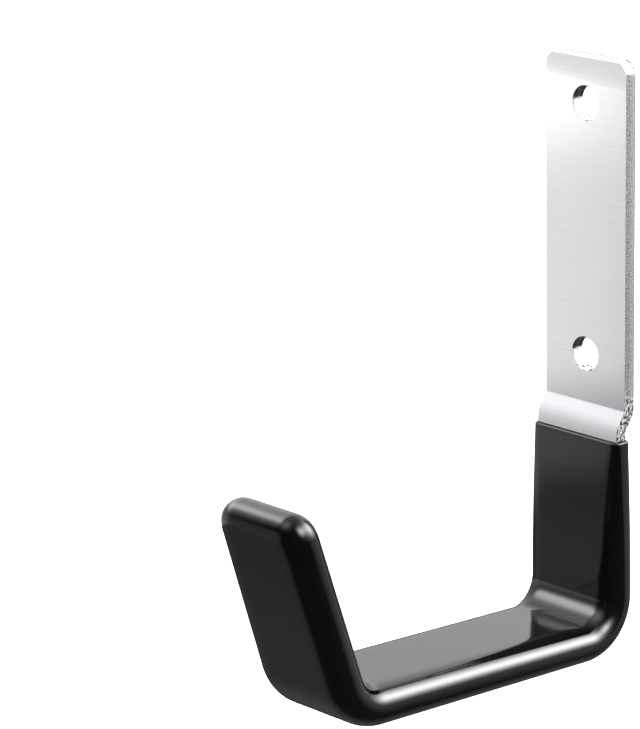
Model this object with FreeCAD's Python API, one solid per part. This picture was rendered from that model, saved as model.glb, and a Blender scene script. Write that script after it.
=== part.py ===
import FreeCAD, Part
import math
import os

# Garage utility hook: a flat steel bar bent into a deep open cradle, screwed to the wall through two holes
# in its back plate and dipped in black vinyl from just under the step to past the tip.
# Sizes in mm, angles in degrees. The wall is the plane y = 0, the hook reaches out along -Y, Z is up and
# the origin lies on the wall face, half way between the two screw holes.

# Flat bar
BAR_WIDTH = 25.4
BAR_THICKNESS = 3.2
BAR_EDGE_ROLL = 0.4

# Back plate
HOLE_SPACING = 60.0
HOLE_DIAMETER = 7.8
HOLE_BURR_BREAK = 0.3
PLATE_ABOVE_HOLE = 11.05
PLATE_CORNER_RADIUS = 3.3

# Step that brings the coated stem clear of the wall
CREASE_BELOW_HOLE = 11.75
STEP_DEPTH = 2.8
STEP_ANGLE = 38.0
CREASE_RADIUS = 0.6
STEP_FOOT_RADIUS = 2.8

# Stem, arm and tip, measured along the middle of the bar's thickness from corner to corner
ARM_BELOW_CREASE = 55.6
ARM_LENGTH = 84.7
ARM_RISE = 2.7
TIP_LENGTH = 50.0
TIP_LEAN = 17.9
BACK_BEND_RADIUS = 8.8
FRONT_BEND_RADIUS = 9.7
TIP_END_RADIUS = 5.6

# Vinyl sleeve: how much it adds to the bar, on its two narrow sides and on its two wide faces
RIM_BELOW_CREASE = 6.95
RIM_SIDE_COAT = 0.95
RIM_FACE_COAT = 0.9
RIM_CORNER_REACH = 1.8
RIM_CORNER_DEPTH = 1.4
RIM_ROUNDING = 0.4
STEM_SIDE_COAT = 2.0
STEM_FACE_COAT = 2.55
BEND_FACE_COAT = 2.85
ARM_SIDE_COAT = 1.9
ARM_FACE_COAT = 3.2
TIP_SIDE_COAT = 1.05
END_COAT = 1.6
END_CORNER_RADIUS = 6.0
SIDE_ROUNDING = 5.5
SIDE_FLAT = 0.7

# Steps in which the coat swells, below the rim and round the back bend
SWELL_STEPS = 3
BEND_STEPS = 6

# Cuts run this far past the faces they go through, and places closer than a hair count as one
CUT_PAST = 2.0
HAIR = 0.0001

HALF_WIDTH = BAR_WIDTH / 2
HALF_THICKNESS = BAR_THICKNESS / 2
ACROSS = FreeCAD.Vector(1, 0, 0)
FROM_WALL = FreeCAD.Vector(0, -1, 0)


def direction(degrees):
    """Unit vector in the side view, turned from straight down towards the front."""
    angle = math.radians(degrees)
    return FreeCAD.Vector(0, -math.sin(angle), -math.cos(angle))


def front_normal(along):
    """Unit vector out of the bar's inner face, the one that carries the load."""
    return along.cross(ACROSS)


# Side view of the bar's middle line

ARM_HEADING = 90 + ARM_RISE
TIP_HEADING = 180 - TIP_LEAN
HEADINGS = [0, STEP_ANGLE, 0, ARM_HEADING, TIP_HEADING]
INNER_RADII = [CREASE_RADIUS, STEP_FOOT_RADIUS, BACK_BEND_RADIUS, FRONT_BEND_RADIUS]


def middle_line():
    """The corners of the middle line, from the top edge of the plate to the end of the tip."""
    hole = HOLE_SPACING / 2
    crease = -hole - CREASE_BELOW_HOLE
    step_top = crease - HALF_THICKNESS * math.tan(math.radians(STEP_ANGLE / 2))
    step_height = STEP_DEPTH / math.tan(math.radians(STEP_ANGLE))
    plate = -HALF_THICKNESS
    stem = plate - STEP_DEPTH
    points = [
        FreeCAD.Vector(0, plate, hole + PLATE_ABOVE_HOLE),
        FreeCAD.Vector(0, plate, step_top),
        FreeCAD.Vector(0, stem, step_top - step_height),
        FreeCAD.Vector(0, stem, crease - ARM_BELOW_CREASE),
    ]
    points.append(points[-1] + direction(ARM_HEADING) * ARM_LENGTH)
    points.append(points[-1] + direction(TIP_HEADING) * TIP_LENGTH)
    return points


class Bend:
    """One bend of the bar: where it starts and ends on the middle line, and the centre it turns about."""

    def __init__(self, corner, heading_in, heading_out, inner_radius):
        self.heading_in = heading_in
        self.turn = heading_out - heading_in
        self.along_in = direction(heading_in)
        self.along_out = direction(heading_out)
        self.radius = inner_radius + HALF_THICKNESS
        set_back = self.radius * math.tan(math.radians(abs(self.turn) / 2))
        self.start = corner - self.along_in * set_back
        self.end = corner + self.along_out * set_back
        self.side = math.copysign(1, self.turn)
        self.centre = self.start + front_normal(self.along_in) * (self.side * self.radius)

    def arc(self, offset):
        """The bend's arc on a line that runs beside the middle line, offset towards the inner face."""
        first = self.start + front_normal(self.along_in) * offset
        last = self.end + front_normal(self.along_out) * offset
        radius = self.radius - self.side * offset
        half_way = (first + last) / 2 - self.centre
        middle = self.centre + half_way.normalize() * radius
        return Part.Arc(first, middle, last).toShape()

    def place(self, part):
        """Where the middle line is, and which way it runs, after a part of the bend from 0 to 1."""
        turned = FreeCAD.Rotation(ACROSS, self.turn * part * -1)
        at = self.centre + turned.multVec(self.start - self.centre)
        return at, direction(self.heading_in + self.turn * part)

    def revolve(self, face):
        """A face at the bend's start, carried round the bend."""
        return face.revolve(self.centre, ACROSS, self.turn * -1)


LINE = middle_line()
BENDS = [
    Bend(corner, heading_in, heading_out, radius)
    for corner, heading_in, heading_out, radius in zip(LINE[1:], HEADINGS, HEADINGS[1:], INNER_RADII)
]
BACK_BEND = BENDS[2]
FRONT_BEND = BENDS[3]
CREASE_Z = -HOLE_SPACING / 2 - CREASE_BELOW_HOLE


def bar_side(offset):
    """One face of the bar in the side view, as a run of lines and arcs."""
    edges = []
    at = LINE[0] + front_normal(direction(HEADINGS[0])) * offset
    for bend in BENDS:
        arc = bend.arc(offset)
        edges.append(Part.makeLine(at, arc.valueAt(arc.FirstParameter)))
        edges.append(arc)
        at = arc.valueAt(arc.LastParameter)
    end = LINE[-1] + front_normal(direction(TIP_HEADING)) * offset
    edges.append(Part.makeLine(at, end))
    return edges, end


def bent_bar():
    """The whole bar: its side view carried across its width."""
    front, front_end = bar_side(HALF_THICKNESS)
    back, back_end = bar_side(-HALF_THICKNESS)
    top_front = front[0].valueAt(front[0].FirstParameter)
    top_back = back[0].valueAt(back[0].FirstParameter)
    ends = [Part.makeLine(front_end, back_end), Part.makeLine(top_back, top_front)]
    outline = Part.Wire(Part.__sortEdges__(front + back + ends))
    face = Part.Face(outline)
    face.translate(ACROSS * -HALF_WIDTH)
    return face.extrude(ACROSS * BAR_WIDTH)


def edges_along(shape, way, keep):
    """The straight edges that run along a given way and whose middle passes the test."""
    found = []
    for edge in shape.Edges:
        line = edge.valueAt(edge.LastParameter) - edge.valueAt(edge.FirstParameter)
        if edge.Length - abs(line.dot(way)) > HAIR:
            continue
        middle = edge.valueAt((edge.FirstParameter + edge.LastParameter) / 2)
        if keep(middle):
            found.append(edge)
    return found


def screw_hole(height):
    """A punched hole, with the slight break of its front rim."""
    radius = HOLE_DIAMETER / 2
    back = FreeCAD.Vector(0, CUT_PAST, height)
    bore = Part.makeCylinder(radius, BAR_THICKNESS + CUT_PAST * 2, back, FROM_WALL)
    front = FreeCAD.Vector(0, HOLE_BURR_BREAK - BAR_THICKNESS, height)
    rim = Part.makeCone(radius, radius + HOLE_BURR_BREAK, HOLE_BURR_BREAK, front, FROM_WALL)
    return bore.fuse(rim)


def round_plate(bar):
    """Rolls the plate's top front edge as shearing leaves it, and rounds its two top corners."""
    top = LINE[0].z
    top_edge = edges_along(bar, ACROSS, lambda p: p.y < -HALF_THICKNESS and top - p.z < HAIR)
    bar = bar.makeFillet(BAR_EDGE_ROLL, top_edge)
    box = bar.BoundBox
    low = FreeCAD.Vector(-HALF_WIDTH, box.YMin - CUT_PAST, box.ZMin - CUT_PAST)
    blank = Part.makeBox(BAR_WIDTH, box.YLength + CUT_PAST * 2, box.ZLength + CUT_PAST, low)
    corners = edges_along(blank, FROM_WALL, lambda p: top - p.z < HAIR)
    return bar.common(blank.makeFillet(PLATE_CORNER_RADIUS, corners))


def steel_strap():
    """The bent bar with rounded plate corners, a rounded end inside the sleeve and the two screw holes."""
    bar = bent_bar()
    tip_out = front_normal(FRONT_BEND.along_out)
    end = LINE[-1]
    end_corners = edges_along(bar, tip_out, lambda p: (end - p).dot(FRONT_BEND.along_out) < HAIR)
    bar = bar.makeFillet(TIP_END_RADIUS, end_corners)
    bar = round_plate(bar)
    for height in (HOLE_SPACING / 2, -HOLE_SPACING / 2):
        bar = bar.cut(screw_hole(height))
    return bar.Solids[0]


def section(at, along, half_width, half_thickness, reach, depth):
    """An oblong across the middle line whose corners are quarter ovals, as far in as reach and depth say."""
    up = front_normal(along)
    flat = half_width - reach
    side = half_thickness - depth

    def point(across, out):
        return at + ACROSS * across + up * out

    def corner(right, top):
        centre = point(right * flat, top * side)
        wide = point(right * half_width, top * side)
        deep = point(right * flat, top * half_thickness)
        return Part.ArcOfEllipse(Part.Ellipse(wide, deep, centre), 0, math.pi / 2).toShape()

    return Part.Wire(
        [
            Part.makeLine(point(half_width, -side), point(half_width, side)),
            corner(1, 1),
            Part.makeLine(point(flat, half_thickness), point(-flat, half_thickness)),
            corner(-1, 1),
            Part.makeLine(point(-half_width, side), point(-half_width, -side)),
            corner(-1, -1),
            Part.makeLine(point(-flat, -half_thickness), point(flat, -half_thickness)),
            corner(1, -1),
        ]
    )


def coat_section(at, along, side_coat, face_coat):
    """The sleeve's outline where it is fully thick, almost an oval on its narrow sides."""
    half_thickness = HALF_THICKNESS + face_coat
    depth = half_thickness - SIDE_FLAT / 2
    return section(at, along, HALF_WIDTH + side_coat, half_thickness, SIDE_ROUNDING, depth)


def stem_coat():
    """From the thin rim down to the back bend, swelling quickly at first and then levelling off."""
    rim = FreeCAD.Vector(0, LINE[2].y, CREASE_Z - RIM_BELOW_CREASE)
    along = BACK_BEND.along_in
    length = rim.z - BACK_BEND.start.z
    full_depth = HALF_THICKNESS + STEM_FACE_COAT - SIDE_FLAT / 2
    wires = []
    for k in range(SWELL_STEPS + 1):
        run = k / SWELL_STEPS
        swell = math.sin(run * math.pi / 2)
        side = RIM_SIDE_COAT + (STEM_SIDE_COAT - RIM_SIDE_COAT) * swell
        face = RIM_FACE_COAT + (STEM_FACE_COAT - RIM_FACE_COAT) * swell
        reach = RIM_CORNER_REACH + (SIDE_ROUNDING - RIM_CORNER_REACH) * swell
        depth = RIM_CORNER_DEPTH + (full_depth - RIM_CORNER_DEPTH) * swell
        at = rim + along * (length * run)
        wires.append(section(at, along, HALF_WIDTH + side, HALF_THICKNESS + face, reach, depth))
    coat = Part.makeLoft(wires, True, True)
    rim_edges = [edge for edge in coat.Edges if rim.z - edge.BoundBox.ZMin < HAIR]
    return coat.makeFillet(RIM_ROUNDING, rim_edges)


def back_bend_coat():
    """Round the back bend, where the coat on the wide faces fills out."""
    wires = []
    for k in range(BEND_STEPS + 1):
        part = k / BEND_STEPS
        at, along = BACK_BEND.place(part)
        swell = math.sin(part * math.pi / 2) ** 2
        face = STEM_FACE_COAT + (BEND_FACE_COAT - STEM_FACE_COAT) * swell
        wires.append(coat_section(at, along, STEM_SIDE_COAT, face))
    return Part.makeLoft(wires, True, False)


def end_cap(at, along):
    """The closed end over the tip: rounded corners, and the same oval rounding all along its edge."""
    half_width = HALF_WIDTH + TIP_SIDE_COAT
    half_thickness = HALF_THICKNESS + ARM_FACE_COAT
    squeeze = (half_thickness - SIDE_FLAT / 2) / SIDE_ROUNDING

    # Made lying flat and thicker than it is, with a round edge, then squeezed so that the edge turns oval
    thick = half_thickness / squeeze
    low = FreeCAD.Vector(-half_width, -END_CORNER_RADIUS, -thick)
    slab = Part.makeBox(half_width * 2, END_CORNER_RADIUS, thick * 2, low)
    out = FreeCAD.Vector(0, 0, 1)
    slab = slab.makeFillet(END_CORNER_RADIUS - HAIR, edges_along(slab, out, lambda p: p.y > -HAIR))
    rim = []
    for edge in slab.Edges:
        middle = edge.valueAt((edge.FirstParameter + edge.LastParameter) / 2)
        if thick - abs(middle.z) < HAIR and middle.y + END_CORNER_RADIUS > HAIR * 2:
            rim.append(edge)
    slab = slab.makeFillet(SIDE_ROUNDING, rim)
    flatten = FreeCAD.Matrix()
    flatten.scale(1, 1, squeeze)
    cap = slab.transformGeometry(flatten)
    cap.Placement = FreeCAD.Placement(at, FreeCAD.Rotation(ACROSS, along, ACROSS.cross(along), "XYZ"))
    return cap


def vinyl_sleeve(bar):
    """The dipped sleeve: a thin rim, a fuller coat round the cradle and a closed, rounded end."""
    stem = stem_coat()
    back_bend = back_bend_coat()
    arm = Part.makeLoft(
        [
            coat_section(BACK_BEND.end, BACK_BEND.along_out, STEM_SIDE_COAT, BEND_FACE_COAT),
            coat_section(FRONT_BEND.start, FRONT_BEND.along_in, ARM_SIDE_COAT, ARM_FACE_COAT),
        ],
        True,
        True,
    )
    arm_end = coat_section(FRONT_BEND.start, FRONT_BEND.along_in, ARM_SIDE_COAT, ARM_FACE_COAT)
    front_bend = FRONT_BEND.revolve(Part.Face(arm_end))
    end = LINE[-1] + FRONT_BEND.along_out * END_COAT
    cap_root = end - FRONT_BEND.along_out * END_CORNER_RADIUS
    tip = Part.makeLoft(
        [
            coat_section(FRONT_BEND.end, FRONT_BEND.along_out, ARM_SIDE_COAT, ARM_FACE_COAT),
            coat_section(cap_root, FRONT_BEND.along_out, TIP_SIDE_COAT, ARM_FACE_COAT),
        ],
        True,
        True,
    )
    cap = end_cap(end, FRONT_BEND.along_out)
    coat = stem.multiFuse([back_bend, arm, front_bend, tip, cap])
    return coat.cut(bar).Solids[0]


os.makedirs("parts", exist_ok=True)
STRAP = steel_strap()
SLEEVE = vinyl_sleeve(STRAP)
STRAP.exportStep("parts/steel_strap.step")
SLEEVE.exportStep("parts/vinyl_sleeve.step")
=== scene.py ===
"""Garage utility hook: a bright flat steel bar, bent into a deep cradle and dipped in glossy black vinyl.

Lengths are metres. The wall is the plane y = 0, the hook reaches out along -Y, Z is up and the origin lies half
way between the two screw holes.
"""

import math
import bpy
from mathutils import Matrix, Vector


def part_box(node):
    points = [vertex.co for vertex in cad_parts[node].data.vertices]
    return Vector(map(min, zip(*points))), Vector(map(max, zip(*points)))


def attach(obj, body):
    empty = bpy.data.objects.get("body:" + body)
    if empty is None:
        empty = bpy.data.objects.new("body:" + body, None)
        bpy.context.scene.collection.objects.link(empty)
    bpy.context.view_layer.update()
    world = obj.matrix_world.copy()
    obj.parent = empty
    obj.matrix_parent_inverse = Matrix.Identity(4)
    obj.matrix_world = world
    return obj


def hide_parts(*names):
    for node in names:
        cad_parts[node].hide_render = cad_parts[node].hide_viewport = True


bl_info = {
    "name": "Garage utility hook",
    "version": (1, 0, 0),
    "blender": (4, 5, 0),
    "location": "3D View > Sidebar > Hook",
    "description": "Builds a vinyl dipped garage hook and its studio around the packed CAD part",
    "category": "Add Mesh",
}

import bmesh
import bpy
from bpy.props import FloatProperty, FloatVectorProperty, IntProperty, PointerProperty
from mathutils import Matrix, Vector

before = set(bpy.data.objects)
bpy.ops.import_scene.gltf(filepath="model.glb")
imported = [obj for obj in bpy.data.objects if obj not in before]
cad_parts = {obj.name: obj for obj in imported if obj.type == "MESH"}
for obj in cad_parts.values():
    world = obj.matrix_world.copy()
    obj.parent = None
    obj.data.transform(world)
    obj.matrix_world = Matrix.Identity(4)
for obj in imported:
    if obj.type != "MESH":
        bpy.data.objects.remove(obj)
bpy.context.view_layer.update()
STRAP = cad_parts["steel_strap"]
STRAP_LOW, STRAP_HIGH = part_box("steel_strap")
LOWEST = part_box("vinyl_sleeve")[0].z

MM = 0.001
ACROSS = Vector((1, 0, 0))
PHOTO_LONG_SIDE = 729
SENSOR = 36
FLOOR_HALF = 20.0
STRIP_HALF = 0.24
STRIP_MIDDLE_Y = -0.08

# Rows of the sleeve's mesh on its way along the bar, and on the way back inside it
STEM_ROWS, BEND_ROWS, ARM_ROWS, TIP_ROWS, END_ROWS = 26, 24, 30, 18, 20
BORE_BEND_ROWS, BORE_END_ROWS = 12, 8
SIDE_CUTS = 14

# Distance within which the sleeve's double places are welded
WELD = 0.002 * MM

# Back wash: azimuth, elevation and how tight. Far lights: the same and their share of the back light
BACK_WASH = (-142, 26, 3.0)
FAR_LIGHTS = (
    (147, 32, 17.5, 1.0),
    (147, 32, 4.0, 0.11),
    (124, 44, 25.0, 0.3),
    (92, 44, 25.0, 0.8),
    (-35, 58, 12.0, 0.15),
    (45, 5, 3.0, 0.006),
)


def heading(degrees):
    """Unit vector in the side view, turned from straight down towards the front."""
    angle = math.radians(degrees)
    return Vector((0, -math.sin(angle), -math.cos(angle)))


def inner_normal(along):
    """Unit vector out of the face that carries the load."""
    return along.cross(ACROSS)


def compass(azimuth, elevation):
    """Unit vector towards a place in the studio: azimuth from straight out of the wall towards +X."""
    a, e = math.radians(azimuth), math.radians(elevation)
    return Vector((math.sin(a) * math.cos(e), -math.cos(a) * math.cos(e), math.sin(e)))


# Properties


class HookBar(bpy.types.PropertyGroup):
    width: FloatProperty(
        name="Bar width", description="Width of the flat bar", default=STRAP_HIGH.x - STRAP_LOW.x,
        unit="LENGTH", min=0.005,
    )
    thickness: FloatProperty(
        name="Bar thickness", description="Thickness of the flat bar", default=3.2 * MM, unit="LENGTH",
        min=0.001,
    )
    hole_spacing: FloatProperty(
        name="Hole spacing", description="From one screw hole to the other", default=60 * MM, unit="LENGTH"
    )
    hole_diameter: FloatProperty(
        name="Hole diameter", description="Diameter of the screw holes", default=7.8 * MM, unit="LENGTH"
    )
    colour: FloatVectorProperty(
        name="Steel", description="Colour of the bright brushed face", subtype="COLOR", size=3, min=0, max=1,
        default=(0.853, 0.863, 0.882),
    )
    edge_colour: FloatVectorProperty(
        name="Sheared edge", description="Colour of the matte sheared sides", subtype="COLOR", size=3, min=0,
        max=1, default=(0.38, 0.385, 0.385),
    )
    roughness: FloatProperty(
        name="Face roughness", description="Roughness of the brushed faces", default=0.20, min=0, max=1
    )
    step_roughness: FloatProperty(
        name="Step roughness", description="Roughness of the duller step", default=0.62, min=0, max=1
    )
    cut_roughness: FloatProperty(
        name="Cut roughness", description="Roughness of sheared sides and hole walls", default=0.5, min=0, max=1
    )
    grain: FloatProperty(
        name="Grain", description="How much the brushing spreads a reflection along the bar", default=0.35,
        min=0, max=1,
    )
    crease_height: FloatProperty(
        name="Crease height", description="Height of the crease where the bar steps out", default=-41.75 * MM,
        unit="LENGTH",
    )
    roll_off: FloatProperty(
        name="Roll off", description="How far down from its top edge the plate's face rolls back",
        default=6.5 * MM, unit="LENGTH",
    )
    roll_radius: FloatProperty(
        name="Roll radius", description="Radius of that roll", default=33 * MM, unit="LENGTH"
    )
    wave_length: FloatProperty(
        name="Wave length", description="From crest to crest of the plate's slight waviness", default=49 * MM,
        unit="LENGTH",
    )
    wave_place: FloatProperty(
        name="Wave place", description="Height at which that waviness tilts the face most", default=24 * MM,
        unit="LENGTH",
    )
    wave_slope: FloatProperty(
        name="Wave slope", description="Steepest tilt of that waviness", default=math.radians(1.4),
        subtype="ANGLE",
    )


class HookSleeve(bpy.types.PropertyGroup):
    rim_height: FloatProperty(
        name="Rim height", description="Height of the sleeve's rim", default=-48.70 * MM, unit="LENGTH"
    )
    stem_depth: FloatProperty(
        name="Stem depth", description="Middle of the stem, in front of the wall", default=4.40 * MM,
        unit="LENGTH",
    )
    arm_height: FloatProperty(
        name="Arm height", description="Height of the corner between stem and arm", default=-97.35 * MM,
        unit="LENGTH",
    )
    arm_length: FloatProperty(
        name="Arm length", description="From corner to corner", default=84.7 * MM, unit="LENGTH"
    )
    arm_rise: FloatProperty(
        name="Arm rise", description="How far the arm rises towards the front", default=math.radians(2.7),
        subtype="ANGLE",
    )
    tip_length: FloatProperty(
        name="Tip length", description="From the corner to the end of the bar", default=50.0 * MM, unit="LENGTH"
    )
    tip_lean: FloatProperty(
        name="Tip lean", description="How far the tip leans out", default=math.radians(17.9), subtype="ANGLE"
    )
    back_radius: FloatProperty(
        name="Back bend radius", description="Radius of the back bend at the middle of the bar",
        default=10.4 * MM, unit="LENGTH",
    )
    front_radius: FloatProperty(
        name="Front bend radius", description="Radius of the front bend at the middle of the bar",
        default=11.3 * MM, unit="LENGTH",
    )
    rim_side_coat: FloatProperty(
        name="Rim side coat", description="Vinyl on the narrow sides at the rim", default=0.95 * MM,
        unit="LENGTH",
    )
    rim_face_coat: FloatProperty(
        name="Rim face coat", description="Vinyl on the wide faces at the rim", default=0.9 * MM, unit="LENGTH"
    )
    stem_side_coat: FloatProperty(
        name="Stem side coat", description="Vinyl on the bar's narrow sides at the stem", default=2.0 * MM,
        unit="LENGTH",
    )
    stem_face_coat: FloatProperty(
        name="Stem face coat", description="Vinyl on the bar's wide faces at the stem", default=2.55 * MM,
        unit="LENGTH",
    )
    bend_face_coat: FloatProperty(
        name="Bend face coat", description="Vinyl on the wide faces past the back bend", default=2.85 * MM,
        unit="LENGTH",
    )
    arm_side_coat: FloatProperty(
        name="Arm side coat", description="Vinyl on the narrow sides at the front bend", default=1.9 * MM,
        unit="LENGTH",
    )
    arm_face_coat: FloatProperty(
        name="Arm face coat", description="Vinyl on the wide faces at the front bend", default=3.2 * MM,
        unit="LENGTH",
    )
    tip_side_coat: FloatProperty(
        name="Tip side coat", description="Vinyl on the narrow sides near the end", default=1.05 * MM,
        unit="LENGTH",
    )
    end_coat: FloatProperty(
        name="End coat", description="Vinyl past the end of the bar", default=1.59 * MM, unit="LENGTH"
    )
    end_corner: FloatProperty(
        name="End corner", description="Corner radius of the closed end", default=6.0 * MM, unit="LENGTH"
    )
    bar_corner: FloatProperty(
        name="Bar corner", description="Corner radius of the bar's end inside the sleeve", default=5.6 * MM,
        unit="LENGTH",
    )
    rim_corner_reach: FloatProperty(
        name="Rim corner reach", description="How far along the wide faces the rim's corners round off",
        default=1.8 * MM, unit="LENGTH",
    )
    rim_corner_depth: FloatProperty(
        name="Rim corner depth", description="How far along the narrow sides the rim's corners round off",
        default=1.4 * MM, unit="LENGTH",
    )
    rim_lip: FloatProperty(
        name="Rim lip", description="Radius of the rim's round edge", default=0.4 * MM, unit="LENGTH"
    )
    side_rounding: FloatProperty(
        name="Side rounding", description="How far in from its narrow sides the sleeve starts to round off",
        default=5.5 * MM, unit="LENGTH",
    )
    side_flat: FloatProperty(
        name="Side flat", description="Flat strip left on the narrow sides", default=0.7 * MM, unit="LENGTH"
    )
    colour: FloatVectorProperty(
        name="Vinyl", description="Colour of the dipped vinyl", subtype="COLOR", size=3, min=0, max=1,
        default=(0.001, 0.001, 0.0011),
    )
    roughness: FloatProperty(
        name="Vinyl roughness", description="Roughness of the glossy skin", default=0.085, min=0, max=1
    )
    ior: FloatProperty(name="Vinyl IOR", description="Refractive index of the skin", default=1.6, min=1)
    round_steps: IntProperty(name="Round steps", description="Steps in a quarter round", default=10, min=4)


class HookStudio(bpy.types.PropertyGroup):
    azimuth: FloatProperty(
        name="Camera azimuth", description="Round from straight out of the wall", default=math.radians(47.7796),
        subtype="ANGLE",
    )
    elevation: FloatProperty(
        name="Camera elevation", description="Above the horizon", default=math.radians(16.0027),
        subtype="ANGLE",
    )
    roll: FloatProperty(
        name="Camera roll", description="Turn of the picture", default=math.radians(1.0558), subtype="ANGLE"
    )
    distance: FloatProperty(
        name="Camera distance", description="Along the view to the origin", default=0.85822, unit="LENGTH"
    )
    aim: FloatVectorProperty(
        name="Camera aim", description="Where the origin stands in the view, right and up", size=2,
        default=(64.0483 * MM, 32.0018 * MM), unit="LENGTH",
    )
    focal_length: FloatProperty(
        name="Focal length", description="For a sensor 36 mm long", default=3681.987 * SENSOR / PHOTO_LONG_SIDE
    )
    floor_drop: FloatProperty(
        name="Floor drop", description="From the hook's lowest point to the floor", default=0.5, unit="LENGTH"
    )
    floor_colour: FloatVectorProperty(
        name="Floor", description="Colour of the pale floor", subtype="COLOR", size=3, min=0, max=1,
        default=(0.86, 0.86, 0.86),
    )
    floor_lift: FloatProperty(
        name="Floor lift", description="Light added where the camera sees the floor", default=0.62, min=0
    )
    back_light: FloatProperty(
        name="Back light", description="Strength of the soft light behind on the right", default=13.5, min=0
    )
    strip_light: FloatProperty(
        name="Strip light", description="Strength of the tall strip light on the left", default=5.8, min=0
    )
    strip_distance: FloatProperty(
        name="Strip distance", description="From the middle of the hook to the strip light", default=0.174,
        unit="LENGTH",
    )
    wall_light: FloatProperty(
        name="Back wash", description="Strength of the broad light behind on the left", default=1.45, min=0
    )


# Material helpers


class Nodes:
    """Adds and links the nodes of one tree, from left to right."""

    def __init__(self, tree):
        self.tree = tree
        self.tree.nodes.clear()
        self.count = 0

    def add(self, kind, settings=None, **values):
        """Adds a node; a value called i0, i1, ... goes to that input, any other to the input it spells."""
        node = self.tree.nodes.new(kind)
        node.location = (self.count * 190, -(self.count % 4) * 160)
        self.count += 1
        for name, value in (settings or {}).items():
            setattr(node, name, value)
        for name, value in values.items():
            self.put(node, int(name[1:]) if name[1:].isdigit() else name.replace("_", " "), value)
        return node

    def put(self, node, socket, value):
        if isinstance(value, bpy.types.NodeSocket):
            self.tree.links.new(value, node.inputs[socket])
        else:
            node.inputs[socket].default_value = value

    def math(self, operation, a, b=0.0, c=0.0, clamp=False):
        node = self.add("ShaderNodeMath", {"operation": operation, "use_clamp": clamp}, i0=a, i1=b, i2=c)
        return node.outputs[0]

    def between(self, value, low, high, to_low=0.0, to_high=1.0):
        """A smooth step from one value to another."""
        node = self.add("ShaderNodeMapRange", {"interpolation_type": "SMOOTHSTEP"}, i0=value)
        for socket, number in zip(range(1, 5), (low, high, to_low, to_high)):
            self.put(node, socket, number)
        return node.outputs[0]

    def band(self, value, rise, fall):
        """One between a soft rise and a soft fall, nought outside them."""
        return self.math("MULTIPLY", self.between(value, *rise), self.between(value, *fall, 1.0, 0.0))

    def dot(self, vector, way):
        node = self.add("ShaderNodeVectorMath", {"operation": "DOT_PRODUCT"}, i0=vector, i1=way)
        return node.outputs["Value"]

    def toward(self, vector, way):
        """How far a direction points the given way, from nothing at a right angle to one."""
        return self.math("MAXIMUM", self.dot(vector, way), 0.0)

    def noise(self, vector, scale, detail=2.0, roughness=0.5, stretch=(1, 1, 1)):
        mapping = self.add("ShaderNodeMapping", i0=vector, Scale=stretch)
        node = self.add("ShaderNodeTexNoise", Vector=mapping.outputs[0], Scale=scale, Detail=detail)
        self.put(node, "Roughness", roughness)
        return node.outputs["Fac"]

    def split(self, vector):
        node = self.add("ShaderNodeSeparateXYZ", i0=vector)
        return [node.outputs[k] for k in range(3)]

    def blend(self, factor, a, b):
        """One number where the factor is nought, the other where it is one."""
        node = self.add("ShaderNodeMix", {"data_type": "FLOAT"})
        for socket, value in ((0, factor), (2, a), (3, b)):
            self.put(node, socket, value)
        return node.outputs[0]

    def shade(self, colour, gain):
        """A colour dimmed by a varying amount."""
        node = self.add("ShaderNodeVectorMath", {"operation": "SCALE"}, i0=tuple(colour))
        self.put(node, "Scale", gain)
        return node.outputs[0]

    def light_path(self):
        """The light path's outputs, and one where the camera looks, straight or through glass."""
        path = self.add("ShaderNodeLightPath").outputs
        return path, self.math("MAXIMUM", path["Is Camera Ray"], path["Is Transmission Ray"])

    def mix(self, factor, a, b):
        node = self.add("ShaderNodeMix", {"data_type": "RGBA"})
        for socket, value in ((0, factor), (6, a), (7, b)):
            self.put(node, socket, value)
        return node.outputs[2]


def new_material(name):
    material = bpy.data.materials.new(name)
    material.use_nodes = True
    return material, Nodes(material.node_tree)


def rgba(colour, gain=1.0):
    return tuple(min(1.0, part * gain) for part in colour) + (1.0,)


class BarPlaces:
    """Where each kind of surface lies on the bar: every mask is one there and nought elsewhere."""

    def __init__(self, n, bar):
        coordinates = n.add("ShaderNodeTexCoord")
        self.place = coordinates.outputs["Object"]
        self.x, self.y, self.z = n.split(self.place)
        self.facing = n.split(coordinates.outputs["Normal"])

        # Hole walls lie level with the plate, close round a hole
        margin, hole_height = 0.35 * MM, bar.hole_spacing / 2
        height = n.math("SUBTRACT", n.math("ABSOLUTE", self.z), hole_height)
        squares = [n.math("MULTIPLY", value, value) for value in (height, self.x)]
        reach = n.math("SQRT", n.math("ADD", *squares))
        self.near_hole = n.math("LESS_THAN", reach, bar.hole_diameter / 2 + margin)
        level = n.between(n.math("ABSOLUTE", self.facing[1]), 0.8, 0.95, 1.0, 0.0)
        self.hole = n.math("MULTIPLY", self.near_hole, level)
        self.above_hole = n.math("SUBTRACT", self.z, n.math("MULTIPLY", n.math("SIGN", self.z), hole_height))

        # Sheared sides face left and right
        side = n.between(n.math("ABSOLUTE", self.facing[0]), 0.75, 0.95)
        self.sheared = n.math("SUBTRACT", side, self.near_hole, clamp=True)
        self.cut = n.math("MAXIMUM", self.sheared, self.hole)

        # The step lies below the crease
        crease = bar.crease_height
        self.step = n.between(self.z, crease - 0.05 * MM, crease + 0.1 * MM, 1.0, 0.0)


def brushed_colour_and_step_shade(n, bar, at, rim_height, brush, broad):
    """Bright faces with fine streaks across the bar; painted shade darkens the step towards its crease."""
    tone = n.mix(broad, rgba(bar.colour, 0.965), rgba(bar.colour, 1.01))
    tone = n.mix(n.between(brush, 0.35, 0.7, 0.0, 0.6), tone, rgba(bar.colour, 0.91))
    # Painted shade on the step: its colour falls from the rim up towards the crease.
    foot = n.between(at.z, rim_height, rim_height + 4.5 * MM, 1.05, 0.74)
    return n.mix(at.step, tone, n.shade(bar.colour, foot))


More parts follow.
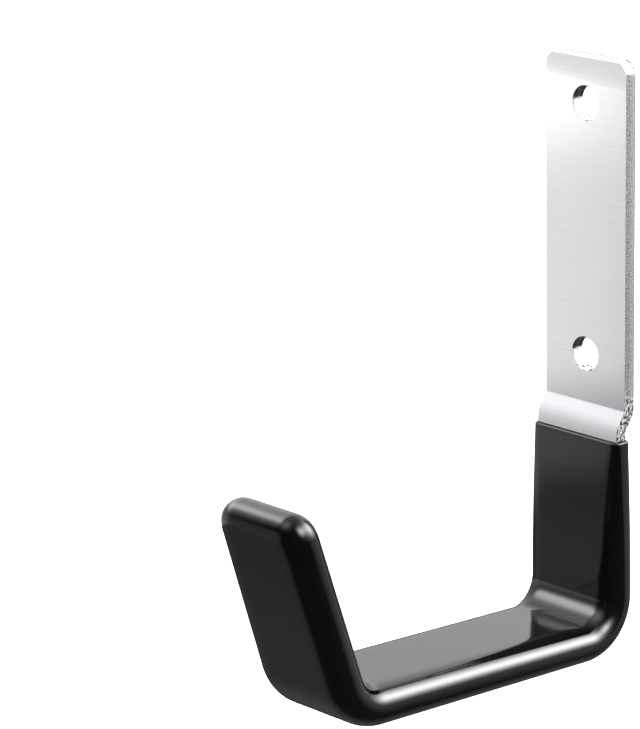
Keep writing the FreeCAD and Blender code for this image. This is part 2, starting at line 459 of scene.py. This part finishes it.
def sheared_colour(n, bar, at, grit, lump):
    """Matte speckled sides, worn bright towards the wall and pitted where the bar was bent."""
    pits = n.noise(at.place, 1500.0, 1.0, 0.5)
    bent = n.between(at.z, -42 * MM, -34 * MM, 0.85, 0.0)
    worn = n.between(at.y, -0.75 * bar.thickness, -0.25 * bar.thickness, 0.0, 0.2)
    rough = n.mix(n.between(grit, 0.43, 0.57), rgba(bar.edge_colour, 0.4), rgba(bar.edge_colour, 1.45))
    rough = n.mix(n.between(lump, 0.4, 0.65, 0.0, 0.35), rough, rgba(bar.edge_colour, 0.9))
    rough = n.mix(worn, rough, (0.9, 0.9, 0.9, 1))
    pitted = n.mix(n.between(pits, 0.44, 0.54), rgba(bar.edge_colour, 0.08), rgba(bar.edge_colour, 2.3))
    return n.mix(bent, rough, pitted)


def hole_colour(n, bar, at, grit, lump):
    """Hole walls: speckled and darkened by painted shade in the upper half, lit by painted light below, with a
    burr at the foot.
    """
    # Painted shade: the upper half of the wall is dark and speckled.
    torn_and_painted_shade = n.mix(n.between(grit, 0.48, 0.58), rgba(bar.edge_colour, 0.0), rgba(bar.edge_colour, 0.3))
    ragged = n.math("ADD", at.above_hole, n.math("MULTIPLY", n.math("SUBTRACT", grit, 0.5), 3 * MM))
    # Painted light: the lower half of the wall is bright.
    wall = n.mix(n.between(ragged, 0.2 * MM, 0.7 * MM), rgba(bar.edge_colour, 2.2), torn_and_painted_shade)
    foot = n.between(at.above_hole, -3.4 * MM, -2.9 * MM, 1.0, 0.0)
    burr = n.math("MULTIPLY", foot, n.between(lump, 0.5, 0.58))
    return n.mix(burr, wall, rgba(bar.edge_colour, 0.4))


def painted_shade_lines(n, bar, at, rim_height, colour):
    """Painted shade: dark lines along the upper edge at the wall, and a painted shadow where the bar goes into
    the vinyl.
    """
    # Painted shade along the back edge of the top face, at the wall.
    upward, at_wall = n.between(at.facing[2], 0.3, 0.5), n.between(at.y, -0.8 * MM, -0.5 * MM, 0.0, 0.95)
    edge = n.math("MULTIPLY", upward, at_wall)
    edge = n.math("SUBTRACT", edge, n.math("MULTIPLY", at.near_hole, 0.45), clamp=True)
    colour = n.mix(edge, colour, rgba(bar.edge_colour, 0.1))
    # Painted shadow and reflection of the dark rim: a thin near-black line on the bar just above it.
    painted_rim_shadow = n.between(at.z, rim_height + 0.08 * MM, rim_height + 0.22 * MM, 0.92, 0.0)
    return n.mix(painted_rim_shadow, colour, rgba(bar.edge_colour, 0.03))


def plate_shape(n, bar, at):
    """Height of the plate's face: it rolls back at its top edge and waves slightly along its length."""
    rolled = n.math("MAXIMUM", n.math("SUBTRACT", at.z, STRAP_HIGH.z - bar.roll_off), 0.0)
    rolled = n.math("MULTIPLY", n.math("MULTIPLY", rolled, rolled), 0.5 / bar.roll_radius)
    crest = n.math("MULTIPLY", n.math("SUBTRACT", at.z, bar.wave_place), 2 * math.pi / bar.wave_length)
    swing = -math.tan(bar.wave_slope) * bar.wave_length / (2 * math.pi)
    return n.math("ADD", rolled, n.math("MULTIPLY", n.math("SINE", crest), swing))


def steel_material(bar, rim_height):
    """Bright brushed faces, matte speckled sheared sides and rough walls in the punched holes."""
    material, n = new_material("bright_brushed_steel")
    at = BarPlaces(n, bar)
    brush = n.noise(at.place, 1.0, 6.0, 0.6, (60, 300, 5200))
    broad = n.noise(at.place, 55.0, 3.0, 0.55, (1.0, 1.0, 1.6))
    grit = n.noise(at.place, 2600.0, 3.0, 0.7)
    lump = n.noise(at.place, 900.0, 2.0, 0.5)

    face = brushed_colour_and_step_shade(n, bar, at, rim_height, brush, broad)
    colour = n.mix(at.sheared, face, sheared_colour(n, bar, at, grit, lump))
    colour = n.mix(at.hole, colour, hole_colour(n, bar, at, grit, lump))
    colour = painted_shade_lines(n, bar, at, rim_height, colour)

    rough = n.between(broad, 0.3, 0.7, bar.roughness * 0.95, bar.roughness * 1.08)
    rough = n.blend(at.step, rough, bar.step_roughness)
    rough = n.blend(at.cut, rough, bar.cut_roughness)
    fine = n.math("MULTIPLY", brush, 0.008 * MM)
    coarse = n.math("MULTIPLY", n.math("ADD", grit, n.math("MULTIPLY", lump, 1.6)), 0.05 * MM)
    shape = n.math("MULTIPLY", plate_shape(n, bar, at), n.math("SUBTRACT", 1.0, at.cut))
    relief = n.math("ADD", n.blend(at.cut, fine, coarse), shape)
    bump = n.add("ShaderNodeBump", Strength=1.0, Distance=1.0, Height=relief)
    grain = n.add("ShaderNodeTangent", {"direction_type": "RADIAL", "axis": "X"})
    shader = n.add("ShaderNodeBsdfPrincipled", Normal=bump.outputs[0], Roughness=rough)
    n.put(shader, "Base Color", colour)
    n.put(shader, "Metallic", n.blend(at.hole, 1.0, 0.4))
    n.put(shader, "Specular IOR Level", n.blend(at.hole, 0.5, 0.1))
    n.put(shader, "Tangent", grain.outputs[0])
    n.put(shader, "Anisotropic", n.blend(at.cut, bar.grain, 0.0))
    n.add("ShaderNodeOutputMaterial", Surface=shader.outputs[0])
    return material


def vinyl_material(sleeve):
    """Thick black vinyl skin: glossy, very slightly uneven, with faint dust in its sheen."""
    material, n = new_material("glossy_black_vinyl")
    place = n.add("ShaderNodeTexCoord").outputs["Object"]
    broad = n.noise(place, 38.0, 2.0, 0.5)
    fine = n.noise(place, 1500.0, 3.0, 0.6)
    colour = n.mix(broad, rgba(sleeve.colour, 0.7), rgba(sleeve.colour, 1.5))
    rough = n.between(fine, 0.3, 0.75, sleeve.roughness * 0.8, sleeve.roughness * 1.35)
    height = n.math("ADD", n.math("MULTIPLY", broad, 0.06 * MM), n.math("MULTIPLY", fine, 0.0004 * MM))
    bump = n.add("ShaderNodeBump", Strength=1.0, Distance=1.0, Height=height)
    shader = n.add("ShaderNodeBsdfPrincipled", Normal=bump.outputs[0], Roughness=rough)
    n.put(shader, "Base Color", colour)
    n.put(shader, "IOR", sleeve.ior)
    # A little less shine down to the middle of the stem, as in the photograph
    n.put(shader, "Specular IOR Level", n.between(n.split(place)[2], -78 * MM, -58 * MM, 0.5, 0.38))
    n.add("ShaderNodeOutputMaterial", Surface=shader.outputs[0])
    return material


# Mesh helpers


def finish_piece(bm, name, material, node):
    """Turns the bmesh into a piece that rides on the part and stands in for its CAD node."""
    bmesh.ops.remove_doubles(bm, verts=bm.verts, dist=WELD)
    bmesh.ops.recalc_face_normals(bm, faces=bm.faces)
    open_edges = [edge for edge in bm.edges if not edge.is_manifold]
    if open_edges:
        raise RuntimeError(f"{name} has {len(open_edges)} open edges")
    mesh = bpy.data.meshes.new(name)
    bm.to_mesh(mesh)
    bm.free()
    mesh.shade_smooth()
    mesh.materials.append(material)
    piece = bpy.data.objects.new(name, mesh)
    bpy.context.scene.collection.objects.link(piece)
    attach(piece, "root")
    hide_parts(node)
    return piece


def rounded_ring(bm, half_width, half_depth, reach, depth, centre, segments):
    """A level oblong with corners that are quarter ovals, as a loop of edges."""
    ring = bmesh.new()
    stretch = reach / depth
    bmesh.ops.create_grid(ring, x_segments=1, y_segments=1, size=1.0)
    bmesh.ops.scale(ring, vec=(half_width / stretch, half_depth, 1), verts=ring.verts)
    bmesh.ops.bevel(
        ring, geom=ring.verts[:], offset=depth, offset_type="OFFSET", affect="VERTICES", segments=segments,
        profile=0.5, material=-1,
    )
    bmesh.ops.scale(ring, vec=(stretch, 1, 1), verts=ring.verts)
    long_edges = [edge for edge in ring.edges if edge.calc_length() > half_width]
    bmesh.ops.subdivide_edges(ring, edges=long_edges, cuts=SIDE_CUTS)
    bmesh.ops.dissolve_faces(ring, faces=ring.faces[:])
    bmesh.ops.translate(ring, vec=centre, verts=ring.verts)
    bmesh.ops.delete(ring, geom=ring.faces[:], context="FACES_ONLY")
    mesh = bpy.data.meshes.new("ring")
    ring.to_mesh(mesh)
    ring.free()
    count = len(bm.edges)
    bm.from_mesh(mesh)
    bpy.data.meshes.remove(mesh)
    bm.edges.ensure_lookup_table()
    return bm.edges[count:]


def ring_verts(edges):
    """A ring's places, each once and always in the same order, so that sums over them never change."""
    return list(dict.fromkeys(vert for edge in edges for vert in edge.verts))


def middle(verts):
    return sum((vert.co for vert in verts), Vector()) / len(verts)


def step_out(bm, edges, way, width_gain=1.0, depth_gain=1.0, along=None):
    """Extrudes a ring one step and swells or shrinks it about its middle."""
    out = bmesh.ops.extrude_edge_only(bm, edges=edges)["geom"]
    verts = [item for item in out if isinstance(item, bmesh.types.BMVert)]
    bmesh.ops.translate(bm, vec=way, verts=verts)
    along = along or way.normalized()
    swell = Matrix.Scale(width_gain, 4, ACROSS) @ Matrix.Scale(depth_gain, 4, inner_normal(along))
    bmesh.ops.transform(bm, matrix=swell, space=Matrix.Translation(-middle(verts)), verts=verts)
    return [item for item in out if isinstance(item, bmesh.types.BMEdge) and item.is_boundary]


def run_straight(bm, edges, along, length, steps, widths=(1.0, 1.0), depths=(1.0, 1.0)):
    """Carries a ring along a straight run while its half width and half depth change evenly."""
    wide, deep = widths[0], depths[0]
    for k in range(1, steps + 1):
        next_wide = widths[0] + (widths[1] - widths[0]) * k / steps
        next_deep = depths[0] + (depths[1] - depths[0]) * k / steps
        edges = step_out(bm, edges, along * (length / steps), next_wide / wide, next_deep / deep)
        wide, deep = next_wide, next_deep
    return edges


def run_bend(bm, edges, centre, along, turn, steps, depths=(1.0, 1.0)):
    """Spins a ring round a bend while its half depth swells smoothly."""
    deep = depths[0]
    for k in range(1, steps + 1):
        out = bmesh.ops.spin(
            bm, geom=ring_verts(edges) + edges, cent=centre, axis=ACROSS, dvec=(0, 0, 0), angle=-turn / steps,
            steps=1, use_merge=False, use_duplicate=False,
        )["geom_last"]
        edges = [item for item in out if isinstance(item, bmesh.types.BMEdge)]
        verts = ring_verts(edges)
        next_deep = depths[0] + (depths[1] - depths[0]) * math.sin(k / steps * math.pi / 2) ** 2
        turned = Matrix.Rotation(-turn * k / steps, 3, "X") @ along
        swell = Matrix.Scale(next_deep / deep, 4, inner_normal(turned))
        bmesh.ops.transform(bm, matrix=swell, space=Matrix.Translation(-middle(verts)), verts=verts)
        deep = next_deep
    return edges


def round_end(bm, edges, along, half_width, radius, steps, settle=None):
    """Carries a ring over an end with round corners; a rule can settle each new ring's places."""
    wide, gone = half_width, 0.0
    for k in range(1, steps + 1):
        angle = math.pi / 2 * k / steps
        reach, next_wide = radius * math.sin(angle), half_width - radius * (1 - math.cos(angle))
        edges = step_out(bm, edges, along * (reach - gone), next_wide / wide, 1.0, along)
        wide, gone = next_wide, reach
        if settle:
            settle(ring_verts(edges), reach)
    return edges


class Route:
    """The bar's middle line through the cradle: its straight runs and the centres of its two bends."""

    def __init__(self, sleeve):
        self.down = heading(0)
        self.out = heading(90 + math.degrees(sleeve.arm_rise))
        self.up = heading(180 - math.degrees(sleeve.tip_lean))
        self.turns = (self.down.angle(self.out), self.out.angle(self.up))
        back = Vector((0, -sleeve.stem_depth, sleeve.arm_height))
        front = back + self.out * sleeve.arm_length
        tip = front + self.up * sleeve.tip_length
        radii = (sleeve.back_radius, sleeve.front_radius)
        set_back = [radius * math.tan(turn / 2) for radius, turn in zip(radii, self.turns)]
        self.back_start = back - self.down * set_back[0]
        self.back_end = back + self.out * set_back[0]
        self.front_start = front - self.out * set_back[1]
        self.front_end = front + self.up * set_back[1]
        self.back_centre = self.back_start + inner_normal(self.down) * sleeve.back_radius
        self.front_centre = self.front_start + inner_normal(self.out) * sleeve.front_radius
        self.tip = tip


def sleeve_skin(bm, sleeve, bar, route):
    """The outer skin: from the rim, down the stem, round the cradle and over the closed end."""
    half_width, half_thickness = bar.width / 2, bar.thickness / 2
    stem = (half_width + sleeve.stem_side_coat, half_thickness + sleeve.stem_face_coat)
    bend_depth = half_thickness + sleeve.bend_face_coat
    arm = (half_width + sleeve.arm_side_coat, half_thickness + sleeve.arm_face_coat)
    tip_width = half_width + sleeve.tip_side_coat
    side_flat, lip = sleeve.side_flat / 2, sleeve.rim_lip
    rim_middle = Vector((0, -sleeve.stem_depth, sleeve.rim_height - lip))
    rim_size = (half_width + sleeve.rim_side_coat, half_thickness + sleeve.rim_face_coat)
    rim_corner = (sleeve.rim_corner_reach, sleeve.rim_corner_depth)
    stem_corner = (sleeve.side_rounding, stem[1] - side_flat)
    rim = rounded_ring(bm, *rim_size, *rim_corner, rim_middle, sleeve.round_steps)
    low = rounded_ring(bm, *stem, *stem_corner, route.back_start, sleeve.round_steps)

    # Swell of the stem: even rows first, then spread so that the coat grows fast under the rim
    length = rim_middle.z - route.back_start.z
    bridge = bmesh.ops.bridge_loops(bm, edges=rim + low)["edges"]
    made = bmesh.ops.subdivide_edges(bm, edges=bridge, cuts=STEM_ROWS, use_grid_fill=True)
    for vert in {item for item in made["geom_inner"] if isinstance(item, bmesh.types.BMVert)}:
        part = (rim_middle.z - vert.co.z) / length
        vert.co.z = rim_middle.z - length * math.asin(min(1.0, part)) * 2 / math.pi

    # Cradle, from the lower of the two open rings
    edges = [edge for edge in bm.edges if edge.is_boundary and edge.verts[0].co.z < route.back_start.z + lip]
    depths = (stem[1], bend_depth)
    edges = run_bend(bm, edges, route.back_centre, route.down, route.turns[0], BEND_ROWS, depths)
    arm_run = (route.front_start - route.back_end).length
    widths, depths = (stem[0], arm[0]), (bend_depth, arm[1])
    edges = run_straight(bm, edges, route.out, arm_run, ARM_ROWS, widths, depths)
    edges = run_bend(bm, edges, route.front_centre, route.out, route.turns[1], BEND_ROWS)
    end = route.tip + route.up * sleeve.end_coat
    tip_run = (end - route.front_end).length - sleeve.end_corner
    edges = run_straight(bm, edges, route.up, tip_run, TIP_ROWS, (arm[0], tip_width), (arm[1], arm[1]))

    # Closed end: each place is as deep as its way in from the rounded outline gives
    corner, roll, out = tip_width - sleeve.end_corner, arm[1] - side_flat, inner_normal(route.up)

    def roll_in(verts, reach):
        place = middle(verts)
        for vert in verts:
            inward = sleeve.end_corner - math.hypot(max(0.0, abs(vert.co.x) - corner), reach)
            left = max(0.0, 1 - inward / sleeve.side_rounding)
            full = side_flat + roll * math.sqrt(max(0.0, 1 - left * left))
            deep = (vert.co - place).dot(out)
            vert.co += out * (math.copysign(full, deep) - deep)

    edges = round_end(bm, edges, route.up, tip_width, sleeve.end_corner, END_ROWS, roll_in)
    bmesh.ops.contextual_create(bm, geom=edges)
    return [edge for edge in bm.edges if edge.is_boundary]


def sleeve_rim(bm, edges, sleeve, bar):
    """The rounded rim, its narrow top and the fine groove where it meets the bar."""
    lip, coat = sleeve.rim_lip, sleeve.rim_face_coat
    wide, deep = bar.width / 2 + sleeve.rim_side_coat, bar.thickness / 2 + coat
    # Each place is in from the outline and up from the ring: round edge, level top, then down the bar
    profile = [(lip * (1 - math.cos(a)), lip * math.sin(a)) for a in (math.pi / 8 * k for k in range(1, 5))]
    profile += [(coat - 0.12 * MM, lip * 0.95), (coat - 0.01 * MM, lip * 0.35), (coat + 0.02 * MM, -lip * 0.5)]
    was_in, was_up = 0.0, 0.0
    for inward, up in profile:
        gains = ((wide - inward) / (wide - was_in), (deep - inward) / (deep - was_in))
        edges = step_out(bm, edges, Vector((0, 0, up - was_up)), *gains, along=Vector((0, 0, -1)))
        was_in, was_up = inward, up
    return edges


def sleeve_bore(bm, edges, sleeve, bar, route):
    """The inner wall, along the bar to its round-cornered end inside the tip."""
    stem_run = (middle(ring_verts(edges)) - route.back_start).length
    edges = run_straight(bm, edges, route.down, stem_run, 1)
    edges = run_bend(bm, edges, route.back_centre, route.down, route.turns[0], BORE_BEND_ROWS)
    edges = run_straight(bm, edges, route.out, (route.front_start - route.back_end).length, 1)
    edges = run_bend(bm, edges, route.front_centre, route.out, route.turns[1], BORE_BEND_ROWS)
    tip_run = (route.tip - route.front_end).length - sleeve.bar_corner
    edges = run_straight(bm, edges, route.up, tip_run, 1)
    edges = round_end(bm, edges, route.up, bar.width / 2, sleeve.bar_corner, BORE_END_ROWS)
    bmesh.ops.contextual_create(bm, geom=edges)


class HOOK_OT_strap(bpy.types.Operator):
    """Give the steel strap its brushed faces and sheared edges"""

    bl_idname = "hook.strap"
    bl_label = "Steel strap"

    def execute(self, context):
        scene = context.scene
        STRAP.data.materials[0] = steel_material(scene.hook_bar, scene.hook_sleeve.rim_height)
        return {"FINISHED"}


class HOOK_OT_sleeve(bpy.types.Operator):
    """Build the dipped vinyl sleeve"""

    bl_idname = "hook.sleeve"
    bl_label = "Vinyl sleeve"

    def execute(self, context):
        scene = context.scene
        bar, sleeve = scene.hook_bar, scene.hook_sleeve
        route = Route(sleeve)
        bm = bmesh.new()
        edges = sleeve_skin(bm, sleeve, bar, route)
        edges = sleeve_rim(bm, edges, sleeve, bar)
        sleeve_bore(bm, edges, sleeve, bar, route)
        finish_piece(bm, "sleeve_skin", vinyl_material(sleeve), "vinyl_sleeve")
        return {"FINISHED"}


# Studio


def floor_glow(n, way):
    """How bright gloss sees the floor each way: dim on the camera's side, lighter left and behind."""
    turn, depth = n.dot(way, compass(-120, 0)), n.split(way)[2]
    left = n.math("MULTIPLY", n.between(turn, -0.22, 0.12, 0.0, 0.34), n.between(turn, 0.5, 0.85, 1.0, 0.25))
    left = n.math("MULTIPLY", left, n.between(depth, -0.65, -0.3, 0.6, 1.0))
    behind = n.between(n.toward(way, compass(178, 0)), 0.42, 0.75, 0.0, 0.6)
    behind = n.math("MULTIPLY", behind, n.between(depth, -0.75, -0.1, 0.2, 1.0))
    return n.math("MAXIMUM", n.math("MAXIMUM", left, behind), 0.05)


def floor_material(studio):
    """Pale floor: the camera sees it white with its soft shadow, gloss sees only its dim glow."""
    material, n = new_material("pale_floor")
    place = n.add("ShaderNodeTexCoord").outputs["Object"]
    tone = n.noise(place, 3.0, 3.0)
    colour = n.mix(tone, rgba(studio.floor_colour), rgba(studio.floor_colour, 0.985))
    matte = n.add("ShaderNodeBsdfDiffuse", Color=colour)
    lift = n.add("ShaderNodeEmission", Color=(1, 1, 1, 1), Strength=studio.floor_lift)
    seen = n.add("ShaderNodeAddShader", i0=matte.outputs[0], i1=lift.outputs[0])
    path, direct = n.light_path()
    look = n.add("ShaderNodeMixShader", i0=direct, i1=matte.outputs[0], i2=seen.outputs[0])
    way = n.add("ShaderNodeVectorMath", {"operation": "NORMALIZE"}, i0=place).outputs[0]
    mirrored = n.add("ShaderNodeEmission", Strength=floor_glow(n, way))
    both = n.add("ShaderNodeMixShader", i0=path["Is Glossy Ray"], i1=look.outputs[0], i2=mirrored.outputs[0])
    n.add("ShaderNodeOutputMaterial", Surface=both.outputs[0])
    return material


def build_floor(studio):
    bm = bmesh.new()
    bmesh.ops.create_grid(bm, x_segments=8, y_segments=8, size=FLOOR_HALF)
    bmesh.ops.translate(bm, vec=(0, 0, LOWEST - studio.floor_drop), verts=bm.verts)
    mesh = bpy.data.meshes.new("floor")
    bm.to_mesh(mesh)
    bm.free()
    mesh.materials.append(floor_material(studio))
    floor = bpy.data.objects.new("floor", mesh)
    bpy.context.scene.collection.objects.link(floor)


def build_strip(studio):
    """A tall soft strip light on the left, out of the camera's sight: bright above the arm, faint below."""
    material, n = new_material("strip_light")
    place = n.add("ShaderNodeTexCoord").outputs["Object"]
    _, y, z = n.split(place)
    # The bright core
    core = n.band(y, (-0.225, -0.145), (-0.140, -0.015))
    core = n.math("MULTIPLY", core, n.band(z, (-0.015, 0.055), (0.115, 0.190)))
    # The wide halo, whose level rises in two steps, dips slightly between them and fades at the top
    halo = n.band(y, (-0.290, -0.180), (-0.090, 0.090))
    level = n.math("ADD", n.between(z, -0.125, -0.105, 0.0, 0.117), n.between(z, -0.042, 0.045, 0.0, 0.185))
    level = n.math("SUBTRACT", level, n.between(z, -0.105, -0.075, 0.0, 0.022))
    level = n.math("MULTIPLY", level, n.between(z, 0.12, 0.22, 1.0, 0.0))
    light = n.math("ADD", n.math("MULTIPLY", core, 0.74), n.math("MULTIPLY", halo, level))
    glow = n.add("ShaderNodeEmission", Strength=n.math("MULTIPLY", light, studio.strip_light))
    clear = n.add("ShaderNodeBsdfTransparent")
    both = n.add("ShaderNodeAddShader", i0=glow.outputs[0], i1=clear.outputs[0])
    n.add("ShaderNodeOutputMaterial", Surface=both.outputs[0])
    bm = bmesh.new()
    bmesh.ops.create_grid(bm, x_segments=4, y_segments=4, size=STRIP_HALF)
    bmesh.ops.rotate(bm, cent=(0, 0, 0), matrix=Matrix.Rotation(math.pi / 2, 3, "Y"), verts=bm.verts)
    bmesh.ops.translate(bm, vec=(-studio.strip_distance, STRIP_MIDDLE_Y, 0.0), verts=bm.verts)
    mesh = bpy.data.meshes.new("strip_light")
    bm.to_mesh(mesh)
    bm.free()
    mesh.materials.append(material)
    strip = bpy.data.objects.new("strip_light", mesh)
    bpy.context.scene.collection.objects.link(strip)
    strip.visible_camera = False
    strip.visible_shadow = False


def build_world(studio):
    """Soft lights far off, round a pale background that the camera sees as plain white."""
    world = bpy.data.worlds.new("soft_studio")
    world.use_nodes = True
    bpy.context.scene.world = world
    n = Nodes(world.node_tree)
    way = n.add("ShaderNodeTexCoord").outputs["Generated"]
    light = 0.0
    for azimuth, elevation, tightness, share in FAR_LIGHTS:
        spread = n.math("POWER", n.toward(way, compass(azimuth, elevation)), tightness)
        light = n.math("ADD", light, n.math("MULTIPLY", spread, studio.back_light * share))
    rise = n.split(way)[2]
    azimuth, elevation, tightness = BACK_WASH
    wash = n.math("POWER", n.toward(way, compass(azimuth, elevation)), tightness)
    wash = n.math("MULTIPLY", wash, n.between(rise, -0.12, 0.22))
    light = n.math("ADD", light, n.math("MULTIPLY", wash, studio.wall_light))
    horizon = n.math("MULTIPLY", floor_glow(n, way), n.between(rise, 0.0, 0.25, 1.0, 0.0))
    light = n.math("MAXIMUM", light, horizon)
    strength = n.blend(n.light_path()[1], light, 1.0)
    background = n.add("ShaderNodeBackground", Color=(1, 1, 1, 1), Strength=strength)
    n.add("ShaderNodeOutputWorld", Surface=background.outputs[0])


def build_camera(studio):
    """The photograph's view: turned round the hook, then rolled, with the hook off the middle of the frame."""
    az, el, roll = studio.azimuth, studio.elevation, studio.roll
    right = Vector((math.cos(az), math.sin(az), 0))
    back = compass(math.degrees(az), math.degrees(el))
    up = back.cross(right)
    turned = Matrix.Rotation(roll, 3, "Z") @ Matrix((right, up, back))
    data = bpy.data.cameras.new("camera")
    data.sensor_width = SENSOR
    data.lens = studio.focal_length
    data.clip_start = 0.01
    camera = bpy.data.objects.new("camera", data)
    bpy.context.scene.collection.objects.link(camera)
    place = turned.transposed() @ -Vector((*studio.aim, -studio.distance))
    camera.matrix_world = Matrix.Translation(place) @ turned.transposed().to_4x4()
    bpy.context.scene.camera = camera


class HOOK_OT_stage(bpy.types.Operator):
    """Set the pale floor, the soft lights and the camera"""

    bl_idname = "hook.stage"
    bl_label = "Stage"

    def execute(self, context):
        studio = context.scene.hook_studio
        build_floor(studio)
        build_strip(studio)
        build_world(studio)
        build_camera(studio)
        context.scene.view_settings.view_transform = "Standard"
        return {"FINISHED"}


class HOOK_PT_panel(bpy.types.Panel):
    bl_label = "Garage utility hook"
    bl_space_type = "VIEW_3D"
    bl_region_type = "UI"
    bl_category = "Hook"

    def draw(self, context):
        layout = self.layout
        for name, group, operator in (
            ("Steel strap", context.scene.hook_bar, "hook.strap"),
            ("Vinyl sleeve", context.scene.hook_sleeve, "hook.sleeve"),
            ("Stage", context.scene.hook_studio, "hook.stage"),
        ):
            box = layout.box()
            box.label(text=name)
            for key in group.__annotations__:
                box.prop(group, key)
            box.operator(operator)


CLASSES = (HookBar, HookSleeve, HookStudio, HOOK_OT_strap, HOOK_OT_sleeve, HOOK_OT_stage, HOOK_PT_panel)


def register():
    for item in CLASSES:
        bpy.utils.register_class(item)
    bpy.types.Scene.hook_bar = PointerProperty(type=HookBar)
    bpy.types.Scene.hook_sleeve = PointerProperty(type=HookSleeve)
    bpy.types.Scene.hook_studio = PointerProperty(type=HookStudio)


def unregister():
    del bpy.types.Scene.hook_studio
    del bpy.types.Scene.hook_sleeve
    del bpy.types.Scene.hook_bar
    for item in reversed(CLASSES):
        bpy.utils.unregister_class(item)


def main():
    register()
    bpy.ops.hook.strap()
    bpy.ops.hook.sleeve()
    bpy.ops.hook.stage()


if __name__ == "__main__":
    main()
